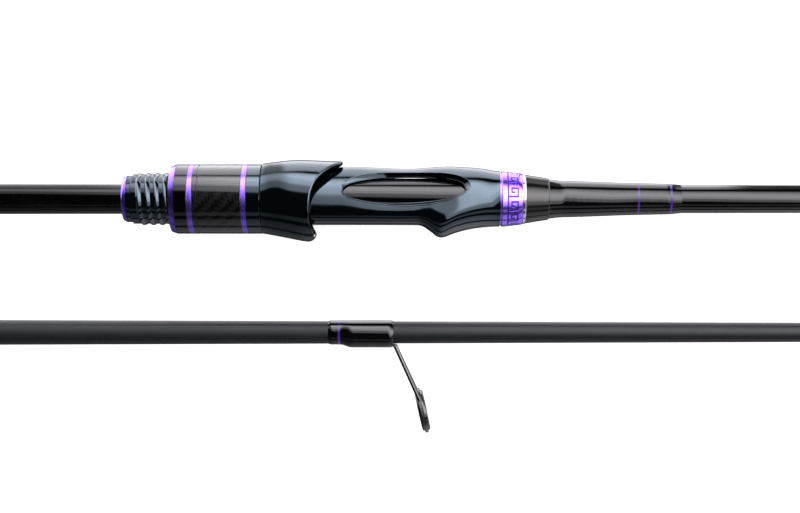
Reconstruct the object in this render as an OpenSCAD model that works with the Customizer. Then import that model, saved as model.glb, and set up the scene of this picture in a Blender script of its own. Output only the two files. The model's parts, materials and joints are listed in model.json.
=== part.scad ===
// Two-piece spinning rod, taken apart: the butt section with its reel seat and,
// parallel to it, the tip section with its guides. The rod lies on its side.
// +X runs towards the tip, -Y is the side of the reel and the guides, +Z is up
// from the surface it lies on, and the origin is the middle of its footprint.

/* [Rod] */
// Length of the butt section
butt_len = 1090; // [900:10:1200]
// Length of the tip section
tip_len = 1090; // [1000:10:1200]
// Distance between the two sections' axes
section_gap = 48.1; // [46:0.1:80]
// How far the tip section's mouth lies ahead of the butt end
tip_start = 137.4; // [0:0.1:300]
// Blank diameter at the butt end
butt_d = 11.2; // [10.8:0.05:11.6]
// Blank diameter just ahead of the fore winding
waist_d = 10.1; // [9.8:0.05:10.4]
// Blank diameter at the butt section's joint end
joint_d = 7.75; // [7.4:0.05:8.1]
// Tip section's diameter at its mouth
mouth_d = 9.34; // [9.2:0.02:9.5]
// Tip section's diameter at the tip
tip_d = 1.9; // [1.6:0.1:2.4]
// Length of the joint's overlap when the rod is put together
overlap = 50; // [40:5:60]
// Radius of the spigot that the tip section slides over
spigot_end_r = 3.9; // [3.8:0.05:3.95]

/* [Butt grip] */
// Length of the rubber cap
cap_len = 22; // [15:1:30]
// Radius of the rubber cap
cap_r = 13; // [13:0.1:15]
// Length of the foam grip
grip_len = 86; // [60:1:100]
// Largest radius of the foam grip
grip_r = 12.4; // [11:0.1:12.8]

/* [Reel seat] */
// Where the reel seat starts, from the butt end
seat_start = 230; // [200:5:300]
// Thread crest radius
crest_r = 9.35; // [9.2:0.05:9.4]
// Thread pitch
pitch = 3.2; // [2.4:0.1:4]
// Outer radius of the lock nut
nut_r = 12.45; // [12.2:0.05:12.8]
// Front of the seat body, from the seat's start
body_end = 136.2; // [134:0.1:140]
// Depth of the reel foot's flat below the axis
saddle = 9.14; // [9:0.01:9.4]

/* [Guides] */
// How far the guide rings lean forwards from upright
lean = 12.3; // [8:0.1:20]
// Reach from the axis to the first tip guide's ring centre
first_reach = 28.3; // [26:0.1:32]

/* [Hidden] */
$fn = 72;

NUT_NODES = ["nut_core", "nut_rear_ring", "nut_collar", "nut_middle_ring", "nut_sleeve",
    "nut_fore_ring", "nut_front_collar"];
GUIDE_COUNT = 7;

// Sizes of the two sections and where they lie
hood_top = 14.05;            // highest point of the moving hood above the axis
butt_blank_start = 3;        // the blank starts inside the cap
waist_s = 450;
joint_clearance = 0.05;
blank_wall = 1.2;
top_overhang = 6.36;         // how far the tip-top passes the blank's end
first_ring_r = 8.2;
x_mid = (tip_start + tip_len + top_overhang) / 2;
low_y = first_reach + first_ring_r * cos(lean) + 0.15;
tip_y = (low_y - hood_top - section_gap) / 2;
butt_y = tip_y + section_gap;
butt_z = cap_r;
tip_z = first_ring_r;

// Reel seat stations, from the seat's start
ring_start = 1.3;
barrel_start = 2.8;
collar_end = 4.3;
nut_start = 18.6;
nut_end = 51.0;
// Where the rings and sleeves on the nut meet
NUT_JOINTS = [20.6, 25.1, 26.95, 44.15, 46.0];
hood_start = 51.3;
hood_web = 2.2;
hood_tip = 79.6;
body_start = 60;
bore_end = 76;
spigot_r = 8.3;
arbor_r = 7.5;
window_r = 7.4;
root_r = 8.87;
barrel_end = 57.5;
nut_bore_r = 9.45;
liner_r = 10.0;
lip_r = 10.3;
flange_r = 10.7;
pocket_r = 11.0;
core_r = 11.8;
key_end = 144.2;
bright_end = 145.4;
cone_end = 153.8;
winding_end = 201.2;

// Guides on the tip section: [distance from mouth, ring outer radius, reach, winding length]
GUIDES = [for (i = [1:GUIDE_COUNT]) guide_size(i)];
stripper = [870, 10.4, 31.5, 28];

function guide_size(i) =
    i == 1 ? [191, first_ring_r, first_reach, 24] :
    i == 2 ? [415, 5.2, 17.0, 18] :
    i == 3 ? [575, 4.2, 11.6, 15] :
    i == 4 ? [700, 3.6, 8.8, 12] :
    i == 5 ? [808, 3.1, 7.2, 10] :
    i == 6 ? [906, 3.1, 6.6, 9] :
    [998, 3.1, 6.2, 9];

// Straight-line value between two stations
function ramp(x, x0, v0, x1, v1) = v0 + (v1 - v0) * (x - x0) / (x1 - x0);
// Radius of each section's blank
function butt_blank_r(s) =
    (s < waist_s ? ramp(s, 0, butt_d, waist_s, waist_d) : ramp(s, waist_s, waist_d, butt_len, joint_d)) / 2;
function tip_blank_r(t) = ramp(t, 0, mouth_d, tip_len, tip_d) / 2;
// Smooth value at x through knots [x, value], each passed with an even slope
function knot_slope(k, i) =
    i == 0 || i == len(k) - 1 ? 0 : (k[i + 1][1] - k[i - 1][1]) / (k[i + 1][0] - k[i - 1][0]);
function knot_before(k, x) = max([for (i = [0:len(k) - 2]) if (x >= k[i][0] || i == 0) i]);
function smooth(k, x) =
    let (i = knot_before(k, x), w = k[i + 1][0] - k[i][0])
    let (t = min(1, max(0, (x - k[i][0]) / w)))
    k[i][1] * (1 + 2 * t) * (1 - t) * (1 - t) + k[i + 1][1] * t * t * (3 - 2 * t)
        + w * knot_slope(k, i) * t * (1 - t) * (1 - t)
        - w * knot_slope(k, i + 1) * t * t * (1 - t);

// Places children in a section's own frame: X along its axis from its rear end
module on_butt() {
    translate([-x_mid, butt_y, butt_z]) children();
}

module on_seat() {
    on_butt() translate([seat_start, 0, 0]) children();
}

module on_tip() {
    translate([tip_start - x_mid, tip_y, tip_z]) children();
}

// Solid of revolution about X from an outline of [x, radius] points
module lathe(outline) {
    rotate([0, 90, 0]) rotate_extrude() polygon([for (p = outline) [p[1], p[0]]]);
}

// Plain ring between two stations
module band(x0, x1, inner, outer) {
    lathe([[x0, inner], [x0, outer], [x1, outer], [x1, inner]]);
}

// Ring with small chamfers on its outer edges
module soft_band(x0, x1, inner, outer, c = 0.2) {
    lathe([[x0, inner], [x0, outer - c], [x0 + c, outer], [x1 - c, outer], [x1, outer - c], [x1, inner]]);
}

// Closed skin through cross-sections, each a ring of [x, y, z] points
module skin(rings) {
    n = len(rings[0]);
    last = len(rings) - 1;
    sides = [for (i = [0:last - 1]) for (j = [0:n - 1]) let (k = (j + 1) % n)
        [i * n + k, (i + 1) * n + k, (i + 1) * n + j, i * n + j]];
    polyhedron(
        points = [for (ring = rings) for (p = ring) p],
        faces = concat(sides, [[for (j = [n - 1:-1:0]) j]], [[for (j = [0:n - 1]) last * n + j]]));
}

// Cross-section with its own top, bottom and side extents, cut flat at a depth
function section(x, top, bottom, side, flat, n) = [for (j = [0:n - 1])
    let (a = 360 * j / n)
    [x, max(-flat, (sin(a) > 0 ? top : bottom) * sin(a)), side * cos(a)]];

// Straight round bar between two points
module bar(p, q, r) {
    d = q - p;
    l = norm(d);
    translate(p) rotate([0, acos(d[2] / l), atan2(d[1], d[0])]) cylinder(r = r, h = l);
}

// ---- butt grip and blank ----
module butt_cap() {
    color("#1b1b1d") on_butt() lathe([[0, 0], [0, cap_r - 2], [0.6, cap_r - 0.8], [2, cap_r],
        [cap_len, cap_r], [cap_len, butt_blank_r(cap_len)],
        [butt_blank_start, butt_blank_r(butt_blank_start)], [butt_blank_start, 0]]);
}

module butt_grip() {
    end = cap_len + grip_len;
    shape = [[cap_len, cap_r - 0.9], [cap_len + 14, cap_r - 1.6], [cap_len + 0.6 * grip_len, grip_r],
        [end, 9.4]];
    steps = [for (i = [0:16]) cap_len + i * grip_len / 16];
    color("#222224") on_butt() lathe(concat(
        [[cap_len, butt_blank_r(cap_len)]],
        [for (x = steps) [x, smooth(shape, x)]],
        [[end, butt_blank_r(end)]]));
}

module grip_ring() {
    x = cap_len + grip_len;
    color("#7a4fd8") on_butt() lathe([[x, butt_blank_r(x)], [x, 9.2], [x + 0.3, 9.4],
        [x + 1.7, 9.4], [x + 2, 9.2], [x + 2, butt_blank_r(x + 2)]]);
}

module grip_check() {
    x = cap_len + grip_len + 2;
    color("#161618") on_butt() lathe([[x, butt_blank_r(x)], [x, 8.8], [x + 6, 6.4],
        [x + 6, butt_blank_r(x + 6)]]);
}

// Tapered tube whose last stretch is the parallel spigot of the joint
module butt_blank() {
    shoulder = butt_len - overlap;
    taper = [butt_blank_start, waist_s, shoulder];
    color("#101012") on_butt() lathe(concat(
        [for (s = taper) [s, butt_blank_r(s)]],
        [[shoulder, spigot_end_r], [butt_len - 0.4, spigot_end_r], [butt_len, spigot_end_r - 0.3]],
        [[butt_len, spigot_end_r - blank_wall]],
        [for (i = [2:-1:0]) [taper[i], butt_blank_r(taper[i]) - blank_wall - 0.1]]));
}

// ---- fixed parts of the reel seat ----
module rear_arbor() {
    color("#3a3a3c") on_seat() lathe([[barrel_start, butt_blank_r(seat_start + barrel_start)],
        [barrel_start, arbor_r], [74, arbor_r], [74, butt_blank_r(seat_start + 74)]]);
}

// Carbon tube inside the seat, seen through the window
module window_tube() {
    color("#1c1612") on_seat() lathe([[bore_end, butt_blank_r(seat_start + bore_end)], [bore_end, window_r],
        [126, window_r], [126, butt_blank_r(seat_start + 126)]]);
}

module front_arbor() {
    color("#3a3a3c") on_seat() lathe([[126, butt_blank_r(seat_start + 126)], [126, window_r],
        [144, window_r], [144, butt_blank_r(seat_start + 144)]]);
}

module seat_end_ring() {
    color("#7a4fd8") on_seat() lathe([[ring_start, butt_blank_r(seat_start + ring_start)],
        [ring_start, 7.6], [ring_start + 0.2, 7.85], [barrel_start - 0.35, 8.3], [barrel_start, 8.3],
        [barrel_start, butt_blank_r(seat_start + barrel_start)]]);
}

module seat_barrel() {
    color("#141416") on_seat() lathe([[barrel_start, arbor_r], [barrel_start, 8.1],
        [barrel_start + 0.15, 8.25], [collar_end, 8.25], [collar_end + 0.5, root_r],
        [barrel_end, root_r], [barrel_end, spigot_r], [bore_end, spigot_r], [bore_end, arbor_r]]);
}

// Screw thread: one ridge carried round the barrel, tapering away at both ends
module seat_thread() {
    per_turn = 32;
    foot_r = root_r / cos(180 / per_turn);
    height = crest_r - foot_r;
    count = floor((barrel_end - collar_end - 4.5) / pitch) * per_turn;
    ridge = [[0, 0], [0.55, 1], [1.25, 1], [1.9, 0]];
    phase = 202.5;
    color("#141416") on_seat() skin([for (i = [0:count])
        let (a = phase + 360 * i / per_turn, grow = min(1, (i + 1) / 10, (count + 1 - i) / 10))
        [for (p = ridge) let (r = foot_r + height * grow * p[1])
            [collar_end + 1.05 + i * pitch / per_turn + p[0], -r * sin(a), r * cos(a)]]]);
}

// Seat body's cross-section along its length, as [station, value] knots
BODY_TOP = [[60, 11.0], [75, 11.3], [84, 11.6], [103, 10.87], [116.8, 11.7], [125, 11.4], [130.6, 10.87],
    [136.2, 10.0]];
BODY_HALF_WIDTH = [[60, 9.6], [74, 10.1], [88, 10.7], [106, 10.7], [115, 11.3], [121, 11.2], [129, 10.5],
    [136.2, 9.95]];
BODY_WIDEST_AT = [[60, -4.8], [104, -4.8], [112, -5.8], [116, -6.2], [122, -3.6], [130, -1], [136.2, 0]];
BODY_DEPTH = [[60, 9.14], [105.5, 9.14], [108.5, 9.55], [111.8, 11.9], [113.5, 13.3], [115.2, 13.8],
    [117.3, 13.35], [119.5, 12.45], [125, 10.95], [130.6, 10.15], [136.2, 9.9]];
BODY_FLAT_HALF = [[60, 4.2], [74, 5.2], [88, 6.2], [106, 6.2], [113, 3.6], [120, 1.6], [130, 0.3],
    [136.2, 0]];
BODY_ROUNDNESS = [[60, 1.62], [106, 1.62], [120, 1.75], [130, 1.95], [136.2, 2]];

// Upper part: a rounded triangle with its widest line low down. Lower part: round
// corners that lead to the flat.
function body_point(x, a) =
    let (w = smooth(BODY_HALF_WIDTH, x), low = smooth(BODY_WIDEST_AT, x), f = smooth(BODY_FLAT_HALF, x))
    let (k = 2 / smooth(BODY_ROUNDNESS, x), up = sin(a) >= 0, side = cos(a) < 0 ? -1 : 1)
    up ? [x, low + (smooth(BODY_TOP, x) - low) * pow(sin(a), k), side * w * pow(abs(cos(a)), k)] :
        [x, low + (smooth(BODY_DEPTH, x) + low) * sin(a),
            side * f * min(1, 9 * abs(cos(a))) + (w - f) * cos(a)];

module seat_shape() {
    around = 72;
    rear = [for (x = [body_start:3.25:105.5]) x];
    front = [for (x = [107:1.3:135.6]) x];
    skin([for (x = concat(rear, front, [body_end]))
        [for (j = [0:around - 1]) body_point(x, 360 * j / around)]]);
}

// Oval through the sides of the seat body, where the blank shows
module window() {
    outline = [for (a = [0:7.5:352.5])
        [101.8 + 22.1 * cos(a), 2.9 + 0.5 * cos(a) + 4.9 * sign(sin(a)) * pow(abs(sin(a)), 0.8)]];
    translate([0, 0, -15]) linear_extrude(30) polygon(outline);
}

// Long scoop round the window, one on each side
module scoop(side) {
    half_length = 25.2;
    depth = 9.2;
    translate([101.9, 6, 12 * side]) lathe([for (i = [0:24]) let (a = 180 - 7.5 * i)
        [half_length * cos(a), depth * sin(a)]]);
}

// Space under the fixed hood for the front of the reel foot
module foot_pocket() {
    translate([106, -12.5, -5.5]) cube([11, 12.5 - saddle, 11]);
}

module seat_body() {
    color("#0e0e10") on_seat() difference() {
        seat_shape();
        band(body_start - 1, bore_end, 0, spigot_r);
        band(bore_end - 1, body_end + 1, 0, window_r);
        window();
        for (side = [-1, 1]) scoop(side);
        foot_pocket();
    }
}

module gap_ring() {
    color("#3a1a78") on_seat() band(body_end, body_end + 0.6, window_r, 9.55);
}

module key_ring() {
    x = body_end + 0.6;
    color("#8f7fd6") on_seat() lathe([[x, window_r], [x, 9.75], [x + 0.25, 9.97], [key_end - 0.25, 9.2],
        [key_end, 9.0], [key_end, window_r], [144, window_r]]);
}

module bright_ring() {
    color("#d8d8dc") on_seat()
        soft_band(key_end, bright_end, butt_blank_r(seat_start + key_end), 8.95, 0.25);
}

module seat_cone() {
    color("#2c2c30") on_seat() lathe([[bright_end, butt_blank_r(seat_start + bright_end)],
        [bright_end, 8.75], [cone_end - 0.3, 7.5], [cone_end, 7.2],
        [cone_end, butt_blank_r(seat_start + cone_end)]]);
}

// Fore winding: glossy thread that steps down onto the blank
FORE_SHAPE = [[153.8, 7.1], [157.5, 6.62], [163, 6.48], [172, 6.18], [181, 5.85], [192, 5.6], [198, 5.44],
    [201.2, 5.12]];
fore_trim_width = 0.72;
FORE_TRIM_STARTS = [185.4, 197.1];

module fore_trim(x) {
    r = smooth(FORE_SHAPE, x + fore_trim_width / 2);
    band(x, x + fore_trim_width, r - 0.25, r + 0.02);
}

module fore_winding() {
    steps = [for (i = [0:20]) ramp(i, 0, cone_end, 20, winding_end)];
    color("#0c0c0e") on_seat() difference() {
        lathe(concat([[cone_end, butt_blank_r(seat_start + cone_end)]],
            [for (x = steps) [x, smooth(FORE_SHAPE, x)]],
            [[winding_end, butt_blank_r(seat_start + winding_end)]]));
        for (x = FORE_TRIM_STARTS) fore_trim(x);
    }
}

module fore_trims() {
    color("#6a3fd0") on_seat() for (x = FORE_TRIM_STARTS) fore_trim(x);
}

// ---- moving hood ----
HOOD_TOP = [[51.3, 12.75], [54.4, 13.16], [60.1, 13.86], [65.9, hood_top], [71.6, 13.79], [79.6, 13.55]];
HOOD_LOW = [[51.3, 12.5], [54.4, 13.0], [60.1, 14.08], [65.9, 15.2], [69, 15.4], [79.6, 15.4]];
HOOD_SIDE = [[51.3, 12.45], [60.1, 12.8], [68, 12.9], [79.6, 12.9]];
HOOD_INNER_LOW = [[53.5, 11.0], [58, 12.6], [62.5, 13.6], [70, 13.75], [82, 13.8]];

module hood_outer() {
    skin([for (i = [0:20]) let (x = ramp(i, 0, hood_start, 20, hood_tip))
        section(x, smooth(HOOD_TOP, x), smooth(HOOD_LOW, x), smooth(HOOD_SIDE, x), 20, 64)]);
}

module hood_inner() {
    skin([for (i = [0:14]) let (x = ramp(i, 0, hood_start + hood_web, 14, hood_tip + 2))
        section(x, 12.1, smooth(HOOD_INNER_LOW, x), 11.75, 20, 64)]);
}

// Everything in front of the hood's swept rim, seen from the side
module hood_rim_cut() {
    rim = [[80.5, 15], [79.2, 13.3], [76.1, 11.96], [74, 10.5], [72.3, 8.87], [70.9, 7.3], [69.8, 5.6],
        [68.9, 3.25], [68.2, 0.4], [67.8, -4.85], [67.9, -10.15], [68.7, -11.4], [69.5, -12.4],
        [69.6, -13.5], [69.1, -14.5], [68.1, -15.2], [66.9, -15.6], [66.8, -17]];
    translate([0, 0, -20]) linear_extrude(40) polygon(concat(rim, [[95, -17], [95, 15]]));
}

module hood_shell() {
    color("#0e0e10") on_seat() difference() {
        hood_outer();
        hood_inner();
        hood_rim_cut();
        rotate([0, 90, 0]) translate([0, 0, hood_start - 1]) cylinder(r = liner_r, h = hood_web + 2);
    }
}

// Sleeve that joins the hood to the nut: its flange turns inside the nut
module hood_liner() {
    color("#8a8d92") on_seat() lathe([[46.8, nut_bore_r], [46.8, flange_r], [49.2, flange_r],
        [49.2, liner_r], [hood_start + hood_web, liner_r], [hood_start + hood_web, nut_bore_r]]);
}

// ---- lock nut ----
module nut_core() {
    color("#141416") on_seat() lathe([[nut_start + 0.4, nut_bore_r], [nut_start, nut_bore_r + 0.4],
        [nut_start, core_r], [49.5, core_r], [49.5, pocket_r], [46.5, pocket_r], [46.5, nut_bore_r]]);
}

module nut_rear_ring() {
    color("#7a4fd8") on_seat() lathe([[nut_start, core_r], [20.1, nut_r - 0.1],
        [NUT_JOINTS[0], nut_r], [NUT_JOINTS[0], core_r]]);
}

module nut_collar() {
    color("#0e0e10") on_seat() soft_band(NUT_JOINTS[0], NUT_JOINTS[1], core_r, nut_r, 0.1);
}

module nut_middle_ring() {
    color("#7a4fd8") on_seat() soft_band(NUT_JOINTS[1], NUT_JOINTS[2], core_r, nut_r, 0.1);
}

module nut_sleeve() {
    x = NUT_JOINTS[2];
    end = NUT_JOINTS[3];
    groove = [[x + 1.6, nut_r], [x + 1.7, nut_r - 0.25], [x + 2.1, nut_r - 0.25], [x + 2.2, nut_r]];
    color("#1a1a1e") on_seat() lathe(concat([[x, core_r], [x, nut_r - 0.1], [x + 0.1, nut_r]], groove,
        [[end - 0.1, nut_r], [end, nut_r - 0.1], [end, core_r]]));
}

module nut_fore_ring() {
    color("#7a4fd8") on_seat() soft_band(NUT_JOINTS[3], NUT_JOINTS[4], core_r, nut_r, 0.1);
}

module nut_front_collar() {
    x = NUT_JOINTS[4];
    color("#0e0e10") on_seat() lathe([[x, core_r], [x, nut_r - 0.1], [x + 0.1, nut_r],
        [nut_end - 0.2, nut_r], [nut_end, nut_r - 0.2], [nut_end, lip_r], [49.5, lip_r], [49.5, core_r]]);
}

// ---- guides: the origin is on the blank's axis where the foot leaves the winding ----
function hoop(g) = 0.1 + 0.08 * g[1];
function ring_bore(g) = 0.78 * g[1] - 0.45;
function wire(g) = 0.3 + 0.055 * g[1];
function foot_h(g) = 0.5 + 0.07 * g[1];
function coat(r) = min(0.3, 0.06 * r + 0.1);
function ring_centre(g) = [0.357 * g[2], -g[2], 0];
function leg_foot(g, r) = [0.3, -(r + wire(g) + 0.18), 0];
function ring_side(g, z) =
    ring_centre(g) + (g[1] - 0.6 * hoop(g)) * [-sin(lean) * sin(30), cos(lean) * sin(30), z * cos(30)];

// Places an outline of revolution at a ring's centre, standing on its lean
module stood_ring(g) {
    translate(ring_centre(g)) rotate([0, 0, lean]) children();
}

// Hard insert that the line runs through
module insert_ring(g) {
    inner = ring_bore(g);
    outer = g[1] - hoop(g);
    w = 0.14 * g[1] + 0.3;
    c = 0.25 * (outer - inner);
    stood_ring(g) lathe([[-w, inner + c], [-w + c, inner], [w - c, inner], [w, inner + c],
        [w, outer - c / 2], [w - c / 2, outer], [-w + c / 2, outer], [-w, outer - c / 2]]);
}

// Flat foot that lies on the blank under the thread
module foot_bar(g, r) {
    w = 0.35 * r;
    translate([-0.7 * g[3], -(r + foot_h(g)), -w]) cube([0.7 * g[3] + 0.3, foot_h(g), 2 * w]);
}

module foot_and_legs(g, r) {
    foot_bar(g, r);
    for (z = [-1, 1]) bar(leg_foot(g, r), ring_side(g, z), wire(g));
    translate(leg_foot(g, r)) sphere(r = wire(g) + 0.1);
}

module frame_of(g, r) {
    inner = g[1] - hoop(g);
    difference() {
        union() {
            stood_ring(g) band(-0.6, 0.6, inner, g[1]);
            foot_and_legs(g, r);
        }
        stood_ring(g) band(-2, 2, 0, inner);
        rotate([0, 90, 0]) translate([0, 0, -30]) cylinder(r = r, h = 40);
    }
}

// Thread and its glossy finish: a thin coat, and a round that sits off centre over the foot
module winding_of(g, r) {
    l = g[3];
    c = coat(r);
    half_h = foot_h(g) / 2;
    full = r + c + half_h - 0.04;
    difference() {
        union() {
            lathe([[-l, 0], [-l, r + 0.02], [1.2 - l, r + c], [-1.2, r + c], [-0.4, r + 0.05], [-0.4, 0]]);
            translate([0, -half_h, 0]) lathe([[-0.76 * l, 0], [-0.76 * l, r - half_h], [-0.62 * l, full],
                [-1.8, full], [-0.6, full - 0.35], [-0.6, 0]]);
        }
        rotate([0, 90, 0]) translate([0, 0, -l - 1]) cylinder(r = r, h = l + 3);
        band(-0.85 * l, 0.7 - 0.85 * l, r + 0.4 * c, r + 4);
        foot_bar(g, r);
    }
}

module trim_of(g, r) {
    band(-0.85 * g[3], 0.7 - 0.85 * g[3], r + 0.4 * coat(r), r + coat(r) + 0.02);
}

// Blank radius that a guide's foot and winding sit on
stripper_seat_r = butt_blank_r(stripper[0] - stripper[3]);
function guide_seat_r(i) = tip_blank_r(GUIDES[i - 1][0] - GUIDES[i - 1][3]);

module at_stripper() {
    on_butt() translate([stripper[0], 0, 0]) children();
}

module at_guide(i) {
    on_tip() translate([GUIDES[i - 1][0], 0, 0]) children();
}

module stripper_frame() {
    color("#3c3e44") at_stripper() frame_of(stripper, stripper_seat_r);
}

module stripper_ring() {
    color("#0a0a0c") at_stripper() insert_ring(stripper);
}

module stripper_winding() {
    color("#0c0c0e") at_stripper() winding_of(stripper, stripper_seat_r);
}

module stripper_trim() {
    color("#6a3fd0") at_stripper() trim_of(stripper, stripper_seat_r);
}

module guide_frame(i) {
    color("#3c3e44") at_guide(i) frame_of(GUIDES[i - 1], guide_seat_r(i));
}

module guide_ring(i) {
    color("#0a0a0c") at_guide(i) insert_ring(GUIDES[i - 1]);
}

module guide_winding(i) {
    color("#0c0c0e") at_guide(i) winding_of(GUIDES[i - 1], guide_seat_r(i));
}

module guide_trims() {
    color("#6a3fd0") for (i = [1:GUIDE_COUNT]) at_guide(i) trim_of(GUIDES[i - 1], guide_seat_r(i));
}

// ---- joint and tip section ----
module spigot_winding() {
    s0 = butt_len - overlap - 22;
    s1 = butt_len - overlap - 6;
    color("#0c0c0e") on_butt() lathe([[s0, butt_blank_r(s0)], [s0 + 1, butt_blank_r(s0) + 0.25],
        [s1 - 1, butt_blank_r(s1) + 0.25], [s1, butt_blank_r(s1)]]);
}

module tip_blank() {
    mouth_r = spigot_end_r + joint_clearance;
    color("#2a2f3a") on_tip() lathe([[0, mouth_r], [0, mouth_d / 2], [tip_len, tip_d / 2], [tip_len, 0.35],
        [overlap + 1, mouth_r - 0.2], [overlap, mouth_r]]);
}

ferrule_len = 36;
FERRULE_TRIM_STARTS = [3, 31];

module ferrule_trim(x) {
    band(x, x + 0.8, tip_blank_r(x) + 0.1, tip_blank_r(x) + 0.37);
}

module ferrule_winding() {
    e = ferrule_len;
    color("#0c0c0e") on_tip() difference() {
        lathe([[0, tip_blank_r(0)], [0, tip_blank_r(0) + 0.2], [1, tip_blank_r(0) + 0.35],
            [e - 2, tip_blank_r(e) + 0.35], [e, tip_blank_r(e)]]);
        for (x = FERRULE_TRIM_STARTS) ferrule_trim(x);
    }
}

module ferrule_trims() {
    color("#6a3fd0") on_tip() for (x = FERRULE_TRIM_STARTS) ferrule_trim(x);
}

// ---- tip-top ----
top_tube_len = 12;

module at_top() {
    on_tip() translate([tip_len, 0, 0]) children();
}

module top_tube() {
    r = tip_blank_r(tip_len - top_tube_len);
    color("#3c3e44") at_top() difference() {
        lathe([[-top_tube_len, 0], [-top_tube_len, r + 0.25], [-top_tube_len + 0.3, r + 0.35],
            [0.4, r + 0.35], [0.7, r], [0.7, 0]]);
        lathe([[-top_tube_len - 1, 0], [-top_tube_len - 1, tip_blank_r(tip_len - top_tube_len - 1) + 0.01],
            [0, tip_d / 2 + 0.01], [0, 0]]);
    }
}

top_ring_r = 3.1;
top_hoop = 0.35;
top_bore = 2.0;

module top_stand() {
    translate([4.6, -4.1, 0]) rotate([0, 0, 25]) children();
}

// Two wires run from the tube to the sides of the ring
module top_frame() {
    tube_r = tip_blank_r(tip_len - top_tube_len) + 0.35;
    inner = top_ring_r - top_hoop;
    color("#3c3e44") at_top() difference() {
        union() {
            top_stand() band(-0.5, 0.5, inner, top_ring_r);
            for (z = [-1, 1]) bar([-5, -tube_r, 0.2 * z], [3.9, -2.9, 2.6 * z], 0.42);
        }
        top_stand() band(-2, 2, 0, inner);
        rotate([0, 90, 0]) translate([0, 0, -20]) cylinder(r = tube_r, h = 20.4);
    }
}

module top_ring() {
    outer = top_ring_r - top_hoop;
    color("#0a0a0c") at_top() top_stand() lathe([[-0.7, top_bore + 0.2], [-0.5, top_bore], [0.5, top_bore],
        [0.7, top_bore + 0.2], [0.7, outer - 0.1], [0.6, outer], [-0.6, outer], [-0.7, outer - 0.1]]);
}

butt_cap();
butt_grip();
grip_ring();
grip_check();
butt_blank();
rear_arbor();
window_tube();
front_arbor();
seat_end_ring();
seat_barrel();
seat_thread();
seat_body();
gap_ring();
key_ring();
bright_ring();
seat_cone();
fore_winding();
fore_trims();
hood_shell();
hood_liner();
nut_core();
nut_rear_ring();
nut_collar();
nut_middle_ring();
nut_sleeve();
nut_fore_ring();
nut_front_collar();
stripper_frame();
stripper_ring();
stripper_winding();
stripper_trim();
spigot_winding();
tip_blank();
ferrule_winding();
ferrule_trims();
for (i = [1:GUIDE_COUNT]) guide_frame(i);
for (i = [1:GUIDE_COUNT]) guide_ring(i);
for (i = [1:GUIDE_COUNT]) guide_winding(i);
guide_trims();
top_tube();
top_frame();
top_ring();
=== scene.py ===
"""Two-piece spinning rod, taken apart: butt section with its reel seat, and tip section beside it."""

import json
import math

import bpy
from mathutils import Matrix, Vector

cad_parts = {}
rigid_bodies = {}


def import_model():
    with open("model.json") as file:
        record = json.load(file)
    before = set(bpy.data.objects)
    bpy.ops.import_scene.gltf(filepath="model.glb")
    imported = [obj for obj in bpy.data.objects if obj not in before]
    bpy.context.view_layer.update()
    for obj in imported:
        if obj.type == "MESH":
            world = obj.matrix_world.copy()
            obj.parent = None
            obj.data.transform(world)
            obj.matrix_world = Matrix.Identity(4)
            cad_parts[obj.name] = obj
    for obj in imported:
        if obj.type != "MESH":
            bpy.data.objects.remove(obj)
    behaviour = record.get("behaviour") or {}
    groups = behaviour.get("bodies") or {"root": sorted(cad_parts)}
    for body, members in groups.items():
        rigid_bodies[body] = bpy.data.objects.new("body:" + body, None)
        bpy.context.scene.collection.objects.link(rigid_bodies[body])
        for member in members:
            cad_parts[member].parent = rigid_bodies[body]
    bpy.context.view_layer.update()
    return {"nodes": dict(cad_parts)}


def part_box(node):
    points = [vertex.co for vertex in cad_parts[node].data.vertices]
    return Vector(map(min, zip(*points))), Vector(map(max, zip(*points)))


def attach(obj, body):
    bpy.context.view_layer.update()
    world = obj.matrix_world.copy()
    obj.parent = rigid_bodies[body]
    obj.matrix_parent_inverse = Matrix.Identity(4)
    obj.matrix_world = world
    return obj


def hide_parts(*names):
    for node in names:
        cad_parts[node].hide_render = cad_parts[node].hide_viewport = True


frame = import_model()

MM = 0.001
GUIDES = range(1, 8)


# ---- where the parts lie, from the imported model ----

def span(node):
    """Where a part starts and ends along the rod."""
    low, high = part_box(node)
    return low.x, high.x


def centre_line(node):
    """(across, height) of the axis that a turned part is round."""
    low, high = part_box(node)
    return (low.y + high.y) / 2, (low.z + high.z) / 2


BUTT_LINE = centre_line("seat_end_ring")
TIP_LINE = centre_line("tip_blank")


# ---- shared effects: node groups that put out masks and values ----

def link(tree, source, target):
    """Feeds an input from an output."""
    tree.links.new(source, target)


def node(tree, kind, **settings):
    """Adds a shader node and sets its options."""
    made = tree.nodes.new(kind)
    for key, value in settings.items():
        setattr(made, key, value)
    return made


def feed(tree, value, socket):
    """Gives an input its value: a number, or the socket that feeds it."""
    if isinstance(value, (int, float)):
        socket.default_value = value
    else:
        link(tree, value, socket)


def maths(tree, operation, *values):
    """A Math node; each value is a number or the socket that feeds it."""
    made = node(tree, "ShaderNodeMath", operation=operation)
    for socket, value in zip(made.inputs, values):
        feed(tree, value, socket)
    return made.outputs[0]


def times(tree, *values):
    """The product of all the values."""
    product = values[0]
    for value in values[1:]:
        product = maths(tree, "MULTIPLY", product, value)
    return product


def object_place(tree):
    """Place on the piece, in metres."""
    return node(tree, "ShaderNodeTexCoord").outputs["Object"]


def noise(tree, place, scale, detail=2.0, rough=0.5):
    """A Noise texture's value."""
    made = node(tree, "ShaderNodeTexNoise")
    link(tree, place, made.inputs["Vector"])
    feed(tree, scale, made.inputs["Scale"])
    made.inputs["Detail"].default_value = detail
    made.inputs["Roughness"].default_value = rough
    return made.outputs["Fac"]


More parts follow.
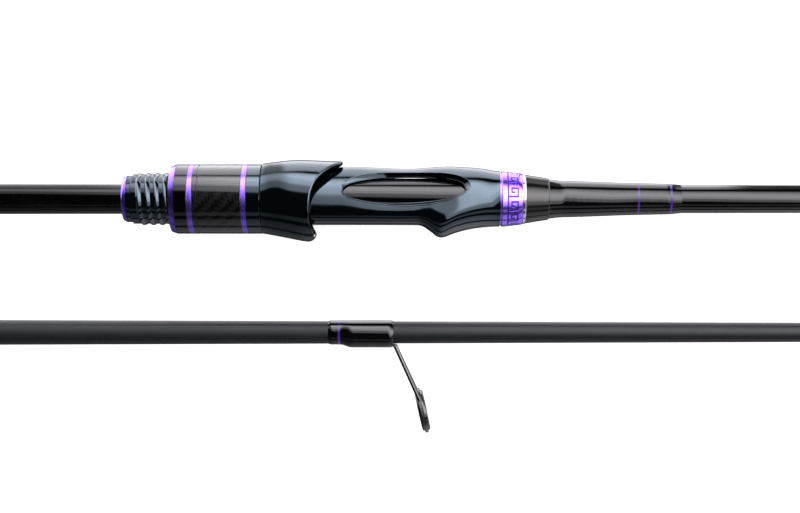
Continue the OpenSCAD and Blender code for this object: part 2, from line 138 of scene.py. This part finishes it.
def ramp(tree, factor, stops):
    """A Color Ramp fed by factor; stops are (place, grey)."""
    made = node(tree, "ShaderNodeValToRGB")
    points = made.color_ramp.elements
    while len(points) < len(stops):
        points.new(0.5)
    for point, (place, grey) in zip(points, stops):
        point.position = place
        point.color = (grey, grey, grey, 1)
    link(tree, factor, made.inputs[0])
    return made.outputs[0]


def group(name, inputs, outputs):
    """An empty node group with inputs (name, default) and named outputs, all of them plain values."""
    tree = bpy.data.node_groups.new(name, "ShaderNodeTree")
    for label, value in inputs:
        socket = tree.interface.new_socket(label, in_out="INPUT", socket_type="NodeSocketFloat")
        socket.default_value = value
    for label in outputs:
        tree.interface.new_socket(label, in_out="OUTPUT", socket_type="NodeSocketFloat")
    return tree, node(tree, "NodeGroupInput").outputs, node(tree, "NodeGroupOutput").inputs


def use(tree, made_group, **values):
    """Places a node group in a material with its own input values; returns its outputs."""
    placed = node(tree, "ShaderNodeGroup", node_tree=made_group)
    for label, value in values.items():
        placed.inputs[label.capitalize()].default_value = value
    return placed.outputs


def handling_group():
    """Fine dust, rubbed patches and small ripples that every used surface has."""
    tree, ins, outs = group("handling", [("Scale", 1.0), ("Dust", 0.3), ("Rub", 0.5)],
                            ["Mask", "Rough", "Height"])
    place = object_place(tree)
    broad = noise(tree, place, times(tree, ins["Scale"], 90.0), 4.0, 0.6)
    fine = noise(tree, place, times(tree, ins["Scale"], 2600.0))
    specks = ramp(tree, fine, [(0.66, 0.0), (0.72, 1.0)])
    patches = ramp(tree, broad, [(0.35, 0.0), (0.7, 1.0)])
    link(tree, times(tree, specks, ins["Dust"]), outs["Mask"])
    link(tree, times(tree, patches, ins["Rub"]), outs["Rough"])
    link(tree, fine, outs["Height"])
    return tree


def round_place_group():
    """Angle round a centre line, in turns, and distance along it, in millimetres."""
    tree, ins, outs = group("round_the_rod", [("Across", 0.0), ("Height", 0.013)], ["Turn", "Along"])
    parts = node(tree, "ShaderNodeSeparateXYZ")
    link(tree, object_place(tree), parts.inputs[0])
    across = maths(tree, "SUBTRACT", parts.outputs[1], ins["Across"])
    up = maths(tree, "SUBTRACT", parts.outputs[2], ins["Height"])
    turns = maths(tree, "DIVIDE", maths(tree, "ARCTAN2", across, up), math.tau)
    link(tree, maths(tree, "ADD", turns, 0.5), outs["Turn"])
    link(tree, times(tree, parts.outputs[0], 1000.0), outs["Along"])
    return tree


def thread_group():
    """Fine thread laid side by side round the blank, seen under its epoxy. Its Mask is painted sheen on each
    strand's crown and painted shade between the strands, times a random tone from the drift.
    """
    tree, ins, outs = group("laid_thread", [("Pitch", 0.22), ("Waver", 0.4)], ["Mask", "Height"])
    place = object_place(tree)
    parts = node(tree, "ShaderNodeSeparateXYZ")
    link(tree, place, parts.inputs[0])
    drift = noise(tree, place, 140.0, 3.0)
    along = maths(tree, "ADD", times(tree, parts.outputs[0], 1000.0), times(tree, drift, ins["Waver"]))
    strands = maths(tree, "SINE", maths(tree, "DIVIDE", times(tree, along, math.tau), ins["Pitch"]))
    wave = maths(tree, "ADD", times(tree, strands, 0.5), 0.5)
    link(tree, wave, outs["Height"])
    # Painted sheen and shade: the colour mask follows the strands' height, times a random tone.
    link(tree, times(tree, wave, drift), outs["Mask"])
    return tree


def stretched(tree, place, scale):
    """Place with its three directions scaled apart."""
    stretch = node(tree, "ShaderNodeMapping")
    stretch.inputs["Scale"].default_value = scale
    link(tree, place, stretch.inputs["Vector"])
    return stretch.outputs[0]


def turning_marks_group():
    """Fine turning marks that run round a lathe-turned metal ring."""
    tree, ins, outs = group("turning_marks", [("Strength", 1.0)], ["Mask", "Height"])
    lines = noise(tree, stretched(tree, object_place(tree), (9000.0, 90.0, 90.0)), 1.0, 3.0, 0.6)
    link(tree, times(tree, lines, ins["Strength"]), outs["Mask"])
    link(tree, lines, outs["Height"])
    return tree


HANDLING = handling_group()
ROUND_PLACE = round_place_group()
LAID_THREAD = thread_group()
TURNING_MARKS = turning_marks_group()


# ---- materials ----

def new_material(name):
    """A new material; returns it with its tree and its Principled shader's inputs."""
    made = bpy.data.materials.new(name)
    made.use_nodes = True
    return made, made.node_tree, made.node_tree.nodes["Principled BSDF"].inputs


def lacquer(shader, weight, rough, tint=(1, 1, 1)):
    """A clear coat over the finish."""
    shader["Coat Weight"].default_value = weight
    shader["Coat Roughness"].default_value = rough
    shader["Coat Tint"].default_value = (*tint, 1)


def bump(tree, height, strength, distance, under=None):
    """A Bump node over a height; under is the bump it is laid on."""
    made = node(tree, "ShaderNodeBump")
    made.inputs["Strength"].default_value = strength
    made.inputs["Distance"].default_value = distance
    link(tree, height, made.inputs["Height"])
    if under is not None:
        link(tree, under, made.inputs["Normal"])
    return made.outputs[0]


def mixed(tree, factor, first, second):
    """Two colours, or two colour sockets, mixed by a factor socket."""
    made = node(tree, "ShaderNodeMix", data_type="RGBA")
    for socket, value in ((made.inputs[6], first), (made.inputs[7], second)):
        if isinstance(value, tuple):
            socket.default_value = (*value, 1)
        else:
            link(tree, value, socket)
    link(tree, factor, made.inputs[0])
    return made.outputs[2]


def worn_finish(name, colour, dust_colour, rough, rough_swing, dust=0.25, scale=1.0, ripple=0.02,
                metallic=0.0, specular=0.5, coat=0.0, tint=(1, 1, 1)):
    """A finish of one colour with dust specks, rubbed patches and a faint ripple."""
    made, tree, shader = new_material(name)
    wear = use(tree, HANDLING, scale=scale, dust=dust, rub=rough_swing)
    link(tree, mixed(tree, wear["Mask"], colour, dust_colour), shader["Base Color"])
    link(tree, maths(tree, "ADD", wear["Rough"], rough), shader["Roughness"])
    shader["Metallic"].default_value = metallic
    shader["Specular IOR Level"].default_value = specular
    shader["Specular Tint"].default_value = (*tint, 1)
    lacquer(shader, coat, 0.04, tint)
    link(tree, bump(tree, wear["Height"], ripple, 0.1 * MM), shader["Normal"])
    return made


def carbon_weave_finish():
    """Twill carbon cloth under clear lacquer, wrapped round the nut's sleeve. Its colour is painted sheen:
    each tow is painted lighter at its crown, and the tows that lie over are lighter than those under.
    """
    made, tree, shader = new_material("carbon_weave")
    where = use(tree, ROUND_PLACE, across=BUTT_LINE[0], height=BUTT_LINE[1])
    tows_round, tow_width, twill = 64.0, 1.2, 4.0
    around = times(tree, where["Turn"], tows_round)
    along = maths(tree, "DIVIDE", where["Along"], tow_width)
    steps = maths(tree, "SUBTRACT", maths(tree, "FLOOR", around), maths(tree, "FLOOR", along))
    above_zero = 1000 * twill
    step = maths(tree, "MODULO", maths(tree, "ADD", steps, above_zero), twill)
    over = maths(tree, "LESS_THAN", step, twill / 2)
    under = maths(tree, "SUBTRACT", 1.0, over)

    def bulge(place):
        """The round of one tow, highest at its middle."""
        side = maths(tree, "SUBTRACT", maths(tree, "FRACT", place), 0.5)
        return maths(tree, "SUBTRACT", 1.0, times(tree, side, side, 3.0))

    height = maths(tree, "ADD", times(tree, bulge(around), over), times(tree, bulge(along), under))
    fibres = noise(tree, object_place(tree), 3000.0)
    # Painted sheen: tows that lie over are painted lighter than tows that lie under.
    over_tow_sheen = maths(tree, "ADD", times(tree, over, 0.75), 0.15)
    # Painted sheen, lightest on the crown of each tow, times a random fibre tone.
    shade = times(tree, height, over_tow_sheen, maths(tree, "ADD", fibres, 0.4))
    # The near black is the cloth's own colour; the brown is its painted sheen.
    link(tree, mixed(tree, shade, (0.0008, 0.0008, 0.001), (0.009, 0.0065, 0.005)), shader["Base Color"])
    link(tree, maths(tree, "ADD", times(tree, over, 0.12), 0.3), shader["Roughness"])
    shader["Specular IOR Level"].default_value = 0.1
    lacquer(shader, 1.0, 0.03, (0.85, 0.93, 1.0))
    link(tree, bump(tree, height, 0.35, 0.1 * MM), shader["Normal"])
    return made


def anodised_finish(name, colour, dark, rough=0.2):
    """Anodised aluminium with turning marks and a slightly uneven dye."""
    made, tree, shader = new_material(name)
    marks = use(tree, TURNING_MARKS, strength=1.0)
    wear = use(tree, HANDLING, scale=1.0, dust=0.5, rub=0.12)
    link(tree, mixed(tree, marks["Mask"], dark, colour), shader["Base Color"])
    link(tree, maths(tree, "ADD", times(tree, marks["Mask"], 0.14), rough), shader["Roughness"])
    shader["Metallic"].default_value = 1.0
    lacquer(shader, 0.2, 0.1)
    low = bump(tree, marks["Height"], 0.06, 0.1 * MM)
    link(tree, bump(tree, wear["Height"], 0.02, 0.1 * MM, low), shader["Normal"])
    return made


def thread_finish(name, dark, light, rough, ridge=0.25):
    """Winding thread under a coat of clear epoxy. Its dark colour is painted shade between the strands and
    its light colour is painted sheen on their crowns.
    """
    made, tree, shader = new_material(name)
    laid = use(tree, LAID_THREAD, pitch=0.22, waver=0.5)
    wear = use(tree, HANDLING, scale=0.6, dust=0.4, rub=0.1)
    # Painted shade between the strands and painted sheen on their crowns, from the laid thread's mask.
    body = mixed(tree, laid["Mask"], dark, light)
    link(tree, mixed(tree, wear["Mask"], body, (0.03, 0.03, 0.035)), shader["Base Color"])
    link(tree, maths(tree, "ADD", wear["Rough"], rough), shader["Roughness"])
    shader["Specular IOR Level"].default_value = 0.04
    lacquer(shader, 0.7, 0.02)
    low = bump(tree, laid["Height"], ridge, 0.05 * MM)
    link(tree, bump(tree, wear["Height"], 0.03, 0.1 * MM, low), shader["Normal"])
    return made


def blank_finish(name, colour, fleck, rough, coat, specular, grind=0.0):
    """A rolled carbon blank: faint fibres under the skin, and the ripple that its wrapping tape leaves."""
    made, tree, shader = new_material(name)
    place = object_place(tree)
    fibres = noise(tree, stretched(tree, place, (160.0, 1400.0, 1400.0)), 1.0, 4.0, 0.65)
    parts = node(tree, "ShaderNodeSeparateXYZ")
    link(tree, place, parts.inputs[0])
    tape_width = 1.6 * MM
    tape = maths(tree, "SINE", times(tree, parts.outputs[0], math.tau / tape_width))
    wear = use(tree, HANDLING, scale=0.7, dust=0.35, rub=0.05)
    speckle = times(tree, ramp(tree, fibres, [(0.45, 0.0), (0.75, 1.0)]), 0.4)
    body = mixed(tree, speckle, colour, fleck)
    link(tree, mixed(tree, wear["Mask"], body, (0.04, 0.04, 0.045)), shader["Base Color"])
    link(tree, maths(tree, "ADD", wear["Rough"], rough), shader["Roughness"])
    shader["Specular IOR Level"].default_value = specular
    lacquer(shader, coat, 0.03)
    low = bump(tree, maths(tree, "ADD", times(tree, tape, grind), fibres), 0.05, 0.1 * MM)
    link(tree, bump(tree, wear["Height"], 0.02, 0.1 * MM, low), shader["Normal"])
    return made


def etched_key_finish():
    """Purple anodised ring with a key pattern etched darker into it."""
    made, tree, shader = new_material("etched_key")
    where = use(tree, ROUND_PLACE, across=BUTT_LINE[0], height=BUTT_LINE[1])
    repeats, rear_rim, band_width = 12.0, 1.9, 4.0
    start, _ = span("key_ring")
    band_start = start / MM + rear_rim
    across = maths(tree, "FRACT", times(tree, where["Turn"], repeats))
    along = maths(tree, "DIVIDE", maths(tree, "SUBTRACT", where["Along"], band_start), band_width)

    def stroke(low_u, high_u, low_v, high_v):
        """A straight stroke of the pattern, as a mask."""
        sides = [maths(tree, "GREATER_THAN", across, low_u), maths(tree, "LESS_THAN", across, high_u),
                 maths(tree, "GREATER_THAN", along, low_v), maths(tree, "LESS_THAN", along, high_v)]
        return times(tree, *sides)

    key = stroke(0.0, 1.0, 0.0, 0.13)
    for place in ((0.0, 0.13, 0.0, 1.0), (0.0, 0.74, 0.87, 1.0), (0.61, 0.74, 0.32, 1.0),
                  (0.3, 0.74, 0.32, 0.45), (0.3, 0.43, 0.32, 0.66)):
        key = maths(tree, "MAXIMUM", key, stroke(*place))
    marks = use(tree, TURNING_MARKS, strength=1.0)
    bright = mixed(tree, marks["Mask"], (0.22, 0.1, 0.85), (0.38, 0.2, 1.0))
    link(tree, mixed(tree, key, bright, (0.04, 0.012, 0.3)), shader["Base Color"])
    link(tree, maths(tree, "ADD", times(tree, key, 0.2), 0.2), shader["Roughness"])
    shader["Metallic"].default_value = 1.0
    lacquer(shader, 0.2, 0.1)
    link(tree, bump(tree, maths(tree, "SUBTRACT", 1.0, key), 0.5, 0.08 * MM), shader["Normal"])
    return made


PURPLE, PURPLE_DARK = (0.33, 0.2, 0.95), (0.16, 0.07, 0.66)
MATERIALS = {
    "seat_black": worn_finish("seat_black", (0.0007, 0.0018, 0.0024), (0.012, 0.016, 0.02), 0.05, 0.04,
                              dust=0.12, ripple=0.01, specular=0.78, tint=(0.66, 0.84, 1.0)),
    "collar_black": worn_finish("collar_black", (0.001, 0.001, 0.0012), (0.015, 0.014, 0.016), 0.05, 0.04,
                                dust=0.12, ripple=0.01, specular=0.6, tint=(0.93, 0.88, 1.0)),
    "carbon_weave": carbon_weave_finish(),
    "purple_metal": anodised_finish("purple_metal", PURPLE, PURPLE_DARK),
    "etched_key": etched_key_finish(),
    "bright_metal": anodised_finish("bright_metal", (0.85, 0.83, 0.9), (0.6, 0.58, 0.66), rough=0.1),
    "dark_metal": worn_finish("dark_metal", (0.006, 0.006, 0.0055), (0.04, 0.04, 0.036), 0.14, 0.06,
                              specular=0.4, tint=(1.0, 0.99, 0.96)),
    # Each thread's two colours are its painted shade between strands and its painted sheen on their crowns.
    "thread_wrap": thread_finish("thread_wrap", (0.0008, 0.0008, 0.001), (0.006, 0.006, 0.007), 0.06,
                                 ridge=0.05),
    "purple_thread": thread_finish("purple_thread", (0.03, 0.006, 0.14), (0.16, 0.05, 0.5), 0.2),
    "gloss_blank": blank_finish("gloss_blank", (0.0008, 0.0008, 0.001), (0.008, 0.006, 0.005),
                                rough=0.07, coat=0.45, specular=0.15),
    "matt_blank": blank_finish("matt_blank", (0.0035, 0.0048, 0.006), (0.009, 0.0115, 0.014),
                               rough=0.44, coat=0.0, specular=0.3, grind=0.4),
    "frame_metal": worn_finish("frame_metal", (0.07, 0.07, 0.068), (0.15, 0.15, 0.15), 0.22, 0.1,
                               metallic=1.0, coat=0.25),
    "ring_ceramic": worn_finish("ring_ceramic", (0.001, 0.001, 0.0012), (0.02, 0.02, 0.02), 0.06, 0.04,
                                specular=0.7),
    "liner_metal": worn_finish("liner_metal", (0.03, 0.03, 0.033), (0.1, 0.1, 0.1), 0.3, 0.1, metallic=1.0),
    "cap_rubber": worn_finish("cap_rubber", (0.006, 0.006, 0.0065), (0.03, 0.03, 0.03), 0.55, 0.15,
                              ripple=0.2),
    "foam": worn_finish("foam", (0.01, 0.01, 0.0105), (0.035, 0.035, 0.035), 0.75, 0.15,
                        dust=0.8, scale=1.6, ripple=0.6),
    "arbor": worn_finish("arbor", (0.25, 0.2, 0.13), (0.4, 0.34, 0.25), 0.8, 0.1, ripple=0.4),
}


# ---- how pieces are made ----

def begin():
    """Clears the selection, so that an operator acts only on what comes next."""
    bpy.ops.object.select_all(action="DESELECT")


def pick(piece):
    """Makes one piece the only one selected, and the active one."""
    begin()
    piece.select_set(True)
    bpy.context.view_layer.objects.active = piece


def finish_piece(piece, name, body, slot, material, *stands_for):
    """Names a finished piece, gives it its body and material, and hides the CAD nodes that it stands for. Its
    slot is not used.
    """
    piece.name = name
    piece.data.name = name
    piece.data.materials.clear()
    piece.data.materials.append(MATERIALS[material])
    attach(piece, body)
    if stands_for:
        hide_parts(*stands_for)
    return piece


def smooth(piece, angle=35):
    """Shades a piece smooth, except at edges that turn by more than the angle, in degrees."""
    pick(piece)
    bpy.ops.object.shade_smooth_by_angle(angle=math.radians(angle))


def copy_of(source):
    """A free copy of an object, with a mesh of its own and without its labels."""
    piece = source.copy()
    piece.data = source.data.copy()
    bpy.context.scene.collection.objects.link(piece)
    piece.parent = None
    piece.matrix_world = source.matrix_world.copy()
    for key in list(piece.keys()):
        del piece[key]
    pick(piece)
    return piece


def lofted(rings, height, sides, fill):
    """A skin through a row of rings that stand across the rod at one height, each (along, across, radius)."""
    along, across, radius = rings[0]
    begin()
    bpy.ops.mesh.primitive_circle_add(vertices=sides, radius=radius, fill_type=fill,
                                      location=(along, across, height), rotation=(0, math.pi / 2, 0))
    piece = bpy.context.object
    bpy.ops.object.transform_apply(location=True, rotation=True, scale=True)
    bpy.ops.object.mode_set(mode="EDIT")
    bpy.ops.mesh.select_all(action="SELECT")
    for next_along, next_across, next_radius in rings[1:]:
        move = (next_along - along, next_across - across, 0)
        bpy.ops.mesh.extrude_region_move(TRANSFORM_OT_translate={"value": move})
        ratio = next_radius / radius
        bpy.ops.transform.resize(value=(1, ratio, ratio), center_override=(next_along, next_across, height))
        along, across, radius = next_along, next_across, next_radius
    bpy.ops.mesh.select_all(action="SELECT")
    bpy.ops.mesh.remove_doubles(threshold=1e-7)
    bpy.ops.mesh.normals_make_consistent(inside=False)
    bpy.ops.object.mode_set(mode="OBJECT")
    return piece


def traced(source, smooth_angle=35):
    """A new mesh on the shape of one CAD node: its triangles are joined and it is shaded smooth."""
    piece = copy_of(frame["nodes"][source])
    bpy.ops.mesh.customdata_custom_splitnormals_clear()
    bpy.ops.object.mode_set(mode="EDIT")
    bpy.ops.mesh.select_all(action="SELECT")
    bpy.ops.mesh.remove_doubles(threshold=2e-6)
    bpy.ops.object.mode_set(mode="OBJECT")
    smooth(piece, smooth_angle)
    return piece


# ---- the rod's two blanks ----

def make_blanks():
    """The two carbon blanks: the butt's is glossy and the tip's is ground matt."""
    for name, body, slot in (("butt_blank", "butt_section", "gloss_blank"),
                             ("tip_blank", "tip_section", "matt_blank")):
        finish_piece(traced(name, 30), name + "_skin", body, slot, slot, name)


# ---- reel seat ----

WINDOW_MIDDLE = sum(span("window_tube")) / 2
HOOD_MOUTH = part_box("nut_front_collar")[1].x + 10 * MM


def rim_bead(source, name, body, radius, keep, inward=1.0):
    """A rounded lip along the sharp edges of a piece that keep(middle of the edge) picks. Inward draws it
    towards the axis."""
    sharp, joining = math.radians(38), 0.2 * MM
    rim = copy_of(source)
    bpy.ops.object.mode_set(mode="EDIT")
    bpy.ops.mesh.select_mode(type="EDGE")
    bpy.ops.mesh.select_all(action="DESELECT")
    bpy.ops.mesh.edges_select_sharp(sharpness=sharp)
    bpy.ops.object.mode_set(mode="OBJECT")
    points = rim.data.vertices
    for edge in rim.data.edges:
        first, second = (points[i].co for i in edge.vertices)
        edge.select = edge.select and keep((first + second) / 2)
    bpy.ops.object.mode_set(mode="EDIT")
    bpy.ops.mesh.select_all(action="INVERT")
    bpy.ops.mesh.delete(type="EDGE")
    bpy.ops.mesh.select_all(action="SELECT")
    bpy.ops.mesh.remove_doubles(threshold=joining)
    bpy.ops.mesh.vertices_smooth(factor=0.5, repeat=6)
    bpy.ops.transform.resize(value=(1, inward, inward), center_override=(0, *BUTT_LINE))
    bpy.ops.object.mode_set(mode="OBJECT")
    bpy.ops.object.convert(target="CURVE")
    rim.data.bevel_depth = radius
    rim.data.bevel_resolution = 4
    rim.data.use_fill_caps = True
    bpy.ops.object.convert(target="MESH")
    smooth(rim, 60)
    return finish_piece(rim, name, body, "seat_black", "seat_black")


def window_edge(at):
    """Whether a place on the seat body is on an edge of its window."""
    half_length, half_width, lowest = 25.2 * MM, 4.5 * MM, -4 * MM
    across, height = BUTT_LINE
    beside = abs(at.x - WINDOW_MIDDLE) < half_length and abs(at.z - height) > half_width
    return beside and at.y > across + lowest


def hood_edge(at):
    """Whether a place on the hood is on the outer edge of its front rim, an oval that lies across the rod."""
    radius, upper_stretch, lower_stretch = 12.35 * MM, 1.05, 1.16
    across, height = BUTT_LINE
    y, z = at.y - across, at.z - height
    outside = math.hypot(y / (upper_stretch if y > 0 else lower_stretch), z) > radius
    return outside and at.x > HOOD_MOUTH


def make_seat():
    """The moulded seat body with its lipped window, and the moving hood with its rolled rim."""
    body = finish_piece(traced("seat_body"), "seat_body_moulding", "butt_section", "seat_black", "seat_black",
                        "seat_body")
    rim_bead(body, "window_lip", "butt_section", 0.22 * MM, window_edge)
    hood = finish_piece(traced("hood_shell"), "hood_moulding", "hood", "seat_black", "seat_black",
                        "hood_shell")
    rim_bead(hood, "hood_lip", "hood", 0.55 * MM, hood_edge, inward=0.957)


# ---- guide windings ----

def swell(t):
    """Eases from 0 to 1 as t goes from 0 to 1."""
    t = min(1.0, max(0.0, t))
    return t * t * (3 - 2 * t)


def blank_radius(coated):
    """The blank's radius under a winding, from the winding's own, by the design's rule for its coat."""
    thin_coat, thick_coat, growth, clearance = 0.1 * MM, 0.3 * MM, 1.06, 0.02 * MM
    return max((coated - thin_coat) / growth, coated - thick_coat) + clearance


def wound_round(node_name, line, name, body):
    """One winding: thread and epoxy that start round on the blank, swell over the guide's foot on its low
    side and close in a round shoulder."""
    rings, sides, rear_shoulder, front_shoulder = 40, 64, 1.2 * MM, 1.6 * MM
    swell_start, swell_length, foot_left = 0.175, 0.19, 0.35
    low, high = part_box(node_name)
    length = high.x - low.x
    axis_y, axis_z = line
    top, bottom = high.y - axis_y, axis_y - low.y
    start = blank_radius(top)
    shape = []
    for i in range(rings + 1):
        t = i / rings
        along = t * length
        coat = math.sqrt(1 - (1 - min(1.0, along / rear_shoulder)) ** 2)
        upper = start + (top - start) * coat
        lower = upper + (bottom - top) * swell((t - swell_start) / swell_length)
        left = length - along
        if left < front_shoulder:
            close = math.sqrt(max(0.0, 1 - (1 - left / front_shoulder) ** 2))
            upper = start + (upper - start) * close
            lower = start + (lower - start) * (foot_left + (1 - foot_left) * close)
        shape.append((low.x + along, axis_y + (upper - lower) / 2, (upper + lower) / 2))
    piece = lofted(shape, axis_z, sides, "NGON")
    smooth(piece, 50)
    return finish_piece(piece, name, body, "thread_wrap", "thread_wrap", node_name)


def make_windings():
    """The windings that hold the guides on."""
    wound_round("stripper_winding", BUTT_LINE, "stripper_coat", "butt_section")
    for i in GUIDES:
        wound_round("guide_%d_winding" % i, TIP_LINE, "guide_%d_coat" % i, "tip_section")


# ---- guide rings ----

def ring_insert(node_name, name, body):
    """One hard ring: its section is a rounded block, and it leans forward as its frame does."""
    sides, section_steps, squareness, lean = 96, 24, 0.7, math.radians(12.3)
    low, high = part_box(node_name)
    outer = (high.z - low.z) / 2
    # The guide's size, and from it the ring's bore and width, follow the design's rules.
    size = (outer + 0.1 * MM) / 0.92
    bore, half_width = 0.78 * size - 0.45 * MM, 0.14 * size + 0.3 * MM
    middle, half_wall = (outer + bore) / 2, (outer - bore) / 2
    section = []
    for step in range(section_steps):
        angle = math.tau * step / section_steps
        along, out = -math.cos(angle), math.sin(angle)
        section.append((math.copysign(abs(along) ** squareness, along) * half_width, 0,
                        middle + math.copysign(abs(out) ** squareness, out) * half_wall))
    ring = lofted(section + section[:1], 0, sides, "NOTHING")
    smooth(ring, 60)
    bpy.ops.transform.rotate(value=-lean, orient_axis="Z", center_override=(0, 0, 0))
    bpy.ops.transform.translate(value=(low + high) / 2)
    bpy.ops.object.transform_apply(location=True, rotation=True, scale=True)
    return finish_piece(ring, name, body, "ring_ceramic", "ring_ceramic", node_name)


def make_ring_inserts():
    """The hard ring of every guide."""
    ring_insert("stripper_ring", "stripper_insert", "butt_section")
    for i in GUIDES:
        ring_insert("guide_%d_ring" % i, "guide_%d_insert" % i, "tip_section")


# ---- everything else ----

FINISH = {"key_ring": "etched_key", "nut_collar": "collar_black"}
DONE = ["butt_blank", "tip_blank", "seat_body", "hood_shell", "stripper_winding", "stripper_ring"]
DONE += ["guide_%d_%s" % (i, part) for i in GUIDES for part in ("winding", "ring")]


def carry_over():
    """CAD parts whose shape is already right take their finish and smooth sides."""
    for name, cad in frame["nodes"].items():
        if name in DONE:
            continue
        slot = cad.data.materials[0].name
        body = cad.parent.name.split(":")[-1]
        finish_piece(traced(name), name + "_skin", body, slot, FINISH.get(name, slot), name)


# ---- studio ----

def make_floor():
    """A plain pale floor that fills every view."""
    begin()
    bpy.ops.mesh.primitive_plane_add(size=30, location=(0, 0, -0.0004))
    floor = bpy.context.object
    floor.name = "floor"
    made, tree, shader = new_material("floor_paper")
    grain = noise(tree, object_place(tree), 900.0, 3.0)
    link(tree, mixed(tree, grain, (0.9, 0.9, 0.9), (0.93, 0.93, 0.93)), shader["Base Color"])
    shader["Roughness"].default_value = 0.9
    shader["Specular IOR Level"].default_value = 0.1
    shader["Emission Color"].default_value = (1, 1, 1, 1)
    shader["Emission Strength"].default_value = 0.55
    floor.data.materials.append(made)
    floor.visible_glossy = False


def round_stops(*edges):
    """Ramp stops from (angle in degrees, brightness) pairs round the rod's axis."""
    return [((angle + 180) / 360, level) for angle, level in edges]


def drifting(tree, turn, along, drift):
    """The angle round the axis, in turns, plus the drift in degrees times the place along the axis."""
    return maths(tree, "ADD", turn, times(tree, along, drift / 360))


def overhead_box(tree, turn, tilt, ends):
    """The box overhead lies askew, so its near edge drifts far along the rod and its far edge a little."""
    near_stops = round_stops((1, 0.0), (4, 0.25), (20, 0.3), (27, 0.72), (36, 0.78), (46, 1.0), (58, 1.0),
                             (68, 0.85), (84, 0.5), (96, 0.3))
    near_edge = ramp(tree, drifting(tree, turn, tilt, 149), near_stops)
    far_stops = round_stops((-70, 1.0), (66, 1.0), (75, 0.6), (79.5, 0.0))
    far_edge = ramp(tree, drifting(tree, turn, maths(tree, "ADD", tilt, 0.13), 45), far_stops)
    return times(tree, near_edge, far_edge, ramp(tree, ends, [(0.38, 0.45), (0.42, 0.7), (0.44, 1.0)]))


def side_box(tree, turn, ends):
    """The box beside the rod is in three lengths, with dim gaps between them."""
    round_band = round_stops((81, 0.0), (85, 0.75), (93, 0.95), (138, 1.0), (148, 0.35), (156, 0.06))
    lengths = [(0.34, 1.0), (0.368, 0.3), (0.4, 0.3), (0.425, 1.0), (0.592, 1.0), (0.6, 0.08), (0.63, 0.08),
               (0.65, 0.9)]
    return times(tree, ramp(tree, turn, round_band), ramp(tree, ends, lengths))


def low_box(tree, turn, tilt):
    """The light that comes up from below, stronger to the front."""
    stops = round_stops((-170, 0.06), (-156, 0.12), (-140, 0.6), (-110, 0.9), (-90, 0.75), (-76, 0.6),
                        (-72.5, 0.0), (-62, 0.0), (-59, 0.55), (-50, 0.5), (-47, 0.0))
    rise = maths(tree, "ADD", times(tree, tilt, 2.6), 1.0)
    return times(tree, ramp(tree, turn, stops), rise)


def make_studio():
    """White room with long soft boxes, which shiny parts show as bands along the rod."""
    overhead_glow, side_glow, low_glow, room_glow = 8.5, 4.2, 0.75, 1.12
    world = bpy.data.worlds.new("studio")
    bpy.context.scene.world = world
    world.use_nodes = True
    tree = world.node_tree
    background = tree.nodes["Background"]
    parts = node(tree, "ShaderNodeSeparateXYZ")
    link(tree, node(tree, "ShaderNodeTexCoord").outputs["Generated"], parts.inputs[0])
    angle = maths(tree, "ARCTAN2", parts.outputs[1], parts.outputs[2])
    turn = maths(tree, "ADD", maths(tree, "DIVIDE", angle, math.tau), 0.5)
    tilt = maths(tree, "MAXIMUM", maths(tree, "MINIMUM", parts.outputs[0], 0.25), -0.25)
    ends = times(tree, maths(tree, "ADD", parts.outputs[0], 1.0), 0.5)
    overhead = times(tree, overhead_box(tree, turn, tilt, ends), overhead_glow)
    side = times(tree, side_box(tree, turn, ends), side_glow)
    low = times(tree, low_box(tree, turn, tilt), low_glow)
    total = maths(tree, "ADD", maths(tree, "ADD", overhead, side), low)
    bands = node(tree, "ShaderNodeCombineColor")
    for channel, share in enumerate((1.0, 0.98, 1.03)):
        link(tree, times(tree, total, share), bands.inputs[channel])
    glossy = node(tree, "ShaderNodeLightPath").outputs["Is Glossy Ray"]
    seen = mixed(tree, glossy, (room_glow, room_glow, room_glow), bands.outputs[0])
    link(tree, seen, background.inputs["Color"])
    background.inputs["Strength"].default_value = 1.0
    bpy.context.scene.view_settings.view_transform = "Standard"


def make_camera():
    """Straight above the reel seat, a little to the front of the nut."""
    ahead, aside, above = 0.1081, -0.0363, 0.57
    data = bpy.data.cameras.new("camera")
    camera = bpy.data.objects.new("camera", data)
    bpy.context.scene.collection.objects.link(camera)
    seat_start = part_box("seat_end_ring")[0].x
    camera.location = (seat_start + ahead, BUTT_LINE[0] + aside, BUTT_LINE[1] + above)
    data.lens = 71.25
    data.sensor_width = 36
    data.shift_x = -0.0312
    data.shift_y = 0.0543
    data.clip_start = 0.01
    data.clip_end = 50
    bpy.context.scene.camera = camera


make_blanks()
make_seat()
make_windings()
make_ring_inserts()
carry_over()
make_floor()
make_studio()
make_camera()

bpy.context.view_layer.update()
